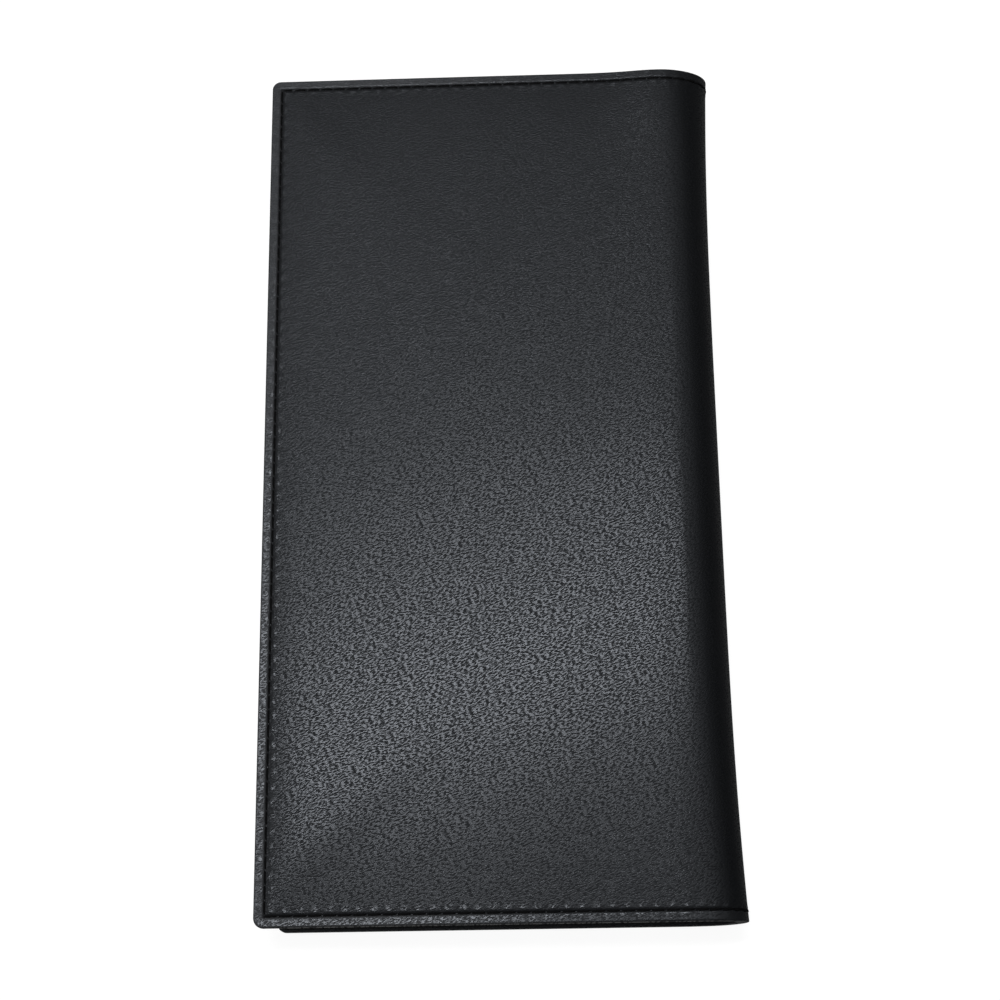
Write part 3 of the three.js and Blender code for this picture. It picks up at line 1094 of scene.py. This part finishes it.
def add_inside():
    check = inner_panel("check_pocket_leather", front_place)
    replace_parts(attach(check, "front_leaf"), "check_pocket")
    check_seam = panel_stitches("check_pocket_stitches", front_place, half_length)
    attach(check_seam, "front_leaf")
    bill = inner_panel("bill_pocket_leather", back_place)
    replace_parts(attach(bill, "back_leaf"), "bill_pocket")
    below_slots = first_mouth - STITCH_PITCH
    bill_seam = panel_stitches("bill_pocket_stitches", back_place, below_slots)
    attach(bill_seam, "back_leaf")
    for i in range(SLOT_COUNT):
        strip = slot_strip(f"slot_leather_{i + 1}", first_mouth + i * SLOT_STEP, slot_length)
        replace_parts(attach(strip, "back_leaf"), f"card_slot_{i + 1}")
    pocket = slot_strip("card_pocket_leather", pocket_mouth, pocket_length)
    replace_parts(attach(pocket, "back_leaf"), "card_pocket")
    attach(slot_stitches(), "back_leaf")


# Identity-card wing


def wing_page():
    """Back leather of the wing with the tab that it is sewn down by, as one piece."""
    fore = page_low.x
    root = tab_high.x
    half = page_high.y
    hinge = (tab_low.x + page_high.x) / 2
    cuts = roll_cuts(WING_ROLL)
    steps = range(-WING_BEND_STEPS, WING_BEND_STEPS + 1)
    bends = [hinge + step * WING_BEND / WING_BEND_STEPS for step in steps]
    across = [fore + cut for cut in cuts] + [root - cut for cut in cuts] + bends
    along = [half - cut for cut in cuts]
    along += [-y for y in along]
    bm = blank((fore, root), (-half, half), PANEL_CELL, across, along)

    def surface(base_tab, base_page, side):
        def at(x, y):
            new_x, new_y = rounded(x, y, fore, 1, half, WING_CORNER)
            step = smooth(x, page_high.x, tab_low.x)
            base = base_page + (base_tab - base_page) * step
            drop = roll_drop(min(x - fore, root - x, half - abs(y)), WING_ROLL)
            return Vector((new_x, new_y, base - side * drop))

        return at

    close_sheet(bm, surface(tab_high.z, page_high.z, 1), surface(tab_low.z, page_low.z, -1))
    made = piece("wing_page", bm, INNER)
    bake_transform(made)
    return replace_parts(made, "wing_tab", "wing_back")


def rounded_loop(bm, x_ends, half, radii):
    """Loop of edges round a rectangle, given the radius of its corners at either X end."""
    x_low, x_high = x_ends
    middle = (x_low + x_high) / 2
    made = bmesh.ops.create_grid(bm, x_segments=1, y_segments=1, size=0.5)["verts"]
    bmesh.ops.scale(bm, vec=(x_high - x_low, 2 * half, 1), verts=made)
    bmesh.ops.translate(bm, vec=(middle, 0, 0), verts=made)
    corners = [[v for v in made if v.co.x < middle], [v for v in made if v.co.x > middle]]
    for pair, radius in zip(corners, radii):
        bmesh.ops.bevel(
            bm,
            geom=pair,
            offset=radius,
            affect="VERTICES",
            segments=CORNER_STEPS,
            profile=0.5,
            material=-1,
        )
    edges = [edge for edge in bm.edges if edge.is_boundary and not edge.tag]
    for edge in edges:
        edge.tag = True
    bmesh.ops.delete(bm, geom=bm.faces[:], context="FACES_ONLY")
    return edges


def wing_frame():
    """Leather frame round the window, with rolled edges."""
    middle = (page_low.x + page_high.x) / 2
    opening = CARD_HEIGHT / 2 - WINDOW_LIP
    opening_x = (middle - opening, middle + opening)
    opening_half = CARD_LENGTH / 2 - WINDOW_LIP
    bm = bmesh.new()
    outer = rounded_loop(bm, (rim_low.x, rim_high.x), rim_high.y, (WING_CORNER, WING_ROLL))
    inner = rounded_loop(bm, opening_x, opening_half, (WINDOW_RADIUS, WINDOW_RADIUS))
    ring = bmesh.ops.bridge_loops(bm, edges=outer + inner)["faces"]
    bmesh.ops.translate(bm, vec=(0, 0, rim_low.z), verts=bm.verts)
    raised = bmesh.ops.extrude_face_region(bm, geom=ring)["geom"]
    tops = [item for item in raised if isinstance(item, bmesh.types.BMVert)]
    bmesh.ops.translate(bm, vec=(0, 0, rim_high.z - rim_low.z), verts=tops)
    bmesh.ops.recalc_face_normals(bm, faces=bm.faces)
    joined = [edge for edge in bm.edges if edge.is_manifold]
    sides = [edge for edge in joined if edge.calc_face_angle() > SQUARE_EDGE]
    bmesh.ops.bevel(
        bm,
        geom=sides,
        offset=WING_ROLL,
        affect="EDGES",
        segments=FRAME_ROLL_STEPS,
        profile=0.5,
        material=-1,
    )
    shade_smooth(bm)
    lay_flat(bm)
    made = piece("wing_frame_leather", bm, INNER)
    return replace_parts(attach(made, "id_wing"), "wing_frame")


def wing_vinyl():
    """Clear sheet behind the frame."""
    half = vinyl_high.y
    bm = blank((vinyl_low.x, vinyl_high.x), (-half, half), PANEL_CELL)
    close_sheet(
        bm,
        lambda x, y: Vector((x, y, vinyl_high.z)),
        lambda x, y: Vector((x, y, vinyl_low.z)),
    )
    made = piece("wing_vinyl", bm, VINYL)
    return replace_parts(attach(made, "id_wing"), "wing_window")


def wing_stitches():
    """Seam round the frame's three free sides."""
    bm = bmesh.new()
    height = rim_high.z - STITCH_HEIGHT / 4
    fore = rim_low.x + WING_SEAM
    far = rim_high.y - WING_SEAM
    for y in stitch_places(WING_CORNER - far, far - WING_CORNER):
        stitch(bm, Vector((fore, y, height)), ALONG_Y, UP)
    for x in stitch_places(fore + WING_CORNER, rim_high.x - WING_SEAM):
        for y in (far, -far):
            stitch(bm, Vector((x, y, height)), ALONG_X, UP)
    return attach(thread_piece("wing_stitches", bm), "id_wing")


def add_wing():
    wing_page()
    wing_frame()
    wing_vinyl()
    wing_stitches()


# Boards


def dress_boards():
    """Fibre board on the two solids that stay as they are."""
    for name in ("front_board", "back_board"):
        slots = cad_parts[name].data.materials
        slots.clear()
        slots.append(BOARD)


# Studio


def floor_material():
    """Pale floor that stays white to the eye and keeps the wallet's shadow."""
    dark_grey = (0.13, 0.13, 0.13, 1)
    light_grey = (0.14, 0.14, 0.14, 1)
    reflected_share = 0.15
    white_to_camera = 0.92
    material, tree = new_material("pale_floor")
    mottle = noise_texture(tree, object_place(tree), Scale=3.0, Detail=2.0)["Fac"]
    matt = node(
        tree, "ShaderNodeBsdfDiffuse", {"Color": mixed(tree, mottle, dark_grey, light_grey)}
    )
    path = node(tree, "ShaderNodeLightPath")
    reflected = math_node(tree, "MULTIPLY", path.outputs["Is Glossy Ray"], reflected_share)
    seen = math_node(tree, "MAXIMUM", path.outputs["Is Camera Ray"], reflected)
    seen = math_node(tree, "MAXIMUM", seen, path.outputs["Is Transmission Ray"])
    strength = math_node(tree, "MULTIPLY", seen, white_to_camera)
    glow = node(tree, "ShaderNodeEmission", {"Color": (1, 1, 1, 1), "Strength": strength})
    both = node(
        tree, "ShaderNodeAddShader", {0: matt.outputs["BSDF"], 1: glow.outputs["Emission"]}
    )
    node(tree, "ShaderNodeOutputMaterial", {"Surface": both.outputs["Shader"]})
    return material


def add_floor():
    """Round floor that turns up into a low wall."""
    flat_radius = FLOOR_RADIUS - FLOOR_COVE
    bm = bmesh.new()
    centre = bm.verts.new((0, 0, -LAYER_GAP))
    edge = bm.verts.new((flat_radius, 0, -LAYER_GAP))
    bm.edges.new((centre, edge))
    bend = bmesh.ops.spin(
        bm,
        geom=[edge],
        cent=(flat_radius, 0, FLOOR_COVE - LAYER_GAP),
        axis=(0, -1, 0),
        angle=math.pi / 2,
        steps=COVE_STEPS,
    )["geom_last"]
    top = [item for item in bend if isinstance(item, bmesh.types.BMVert)]
    up = bmesh.ops.extrude_vert_indiv(bm, verts=top)["verts"]
    bmesh.ops.translate(bm, vec=(0, 0, FLOOR_WALL - FLOOR_COVE), verts=up)
    bmesh.ops.spin(
        bm,
        geom=bm.verts[:] + bm.edges[:],
        cent=(0, 0, 0),
        axis=(0, 0, 1),
        angle=2 * math.pi,
        steps=FLOOR_STEPS,
        use_merge=True,
    )
    bmesh.ops.remove_doubles(bm, verts=bm.verts, dist=GRID_SNAP)
    bmesh.ops.recalc_face_normals(bm, faces=bm.faces)
    if max(bm.faces, key=lambda f: f.calc_area()).normal.z < 0:
        bmesh.ops.reverse_faces(bm, faces=bm.faces)
    shade_smooth(bm)
    add_mesh("studio_floor", bm, floor_material())


def add_lamp(name, place, aim, size, power, turn=0.0):
    """Oblong lamp of a power in watts that faces a place, turned about the upright axis."""
    lamp = bpy.data.lights.new(name, "AREA")
    lamp.shape = "RECTANGLE"
    lamp.size, lamp.size_y = size
    lamp.energy = power
    made = add_object(name, lamp)
    made.location = place
    facing = (Vector(place) - Vector(aim)).to_track_quat("Z", "Y").to_matrix()
    made.rotation_euler = (Matrix.Rotation(turn, 3, "Z") @ facing).to_euler()


def add_light():
    """Narrow key lamp, wide soft ceiling and a soft lamp at the left."""
    top = (0, 0, closed_height)
    key_turn = math.radians(-6)
    add_lamp("key_lamp", (-0.1, 0.207, 1.2), top, size=(0.56, 0.08), power=9.4, turn=key_turn)
    add_lamp("ceiling_lamp", (0, 0.35, 1.6), (0, 0.35, 0), size=(2.4, 2.0), power=12.5)
    add_lamp("left_lamp", (-1.0, -0.1, 0.55), top, size=(0.5, 0.8), power=3)
    world = bpy.data.worlds.new("studio")
    world.use_nodes = True
    back = world.node_tree.nodes["Background"]
    back.inputs["Color"].default_value = (0.9, 0.95, 1.0, 1)
    back.inputs["Strength"].default_value = 0.07
    bpy.context.scene.world = world


def add_camera():
    """Camera above the near end of the wallet, as the photograph was taken."""
    lens = bpy.data.cameras.new("camera")
    lens.sensor_width = 36
    lens.lens = CAMERA_LENS
    lens.clip_start = 0.01
    made = add_object("camera", lens)
    made.location = CAMERA_PLACE
    made.rotation_euler = CAMERA_TURN
    bpy.context.scene.camera = made


add_camera()
add_covers()
add_linings()
add_inside()
add_wing()
dress_boards()
add_floor()
add_light()
bpy.context.scene.view_settings.view_transform = "Standard"
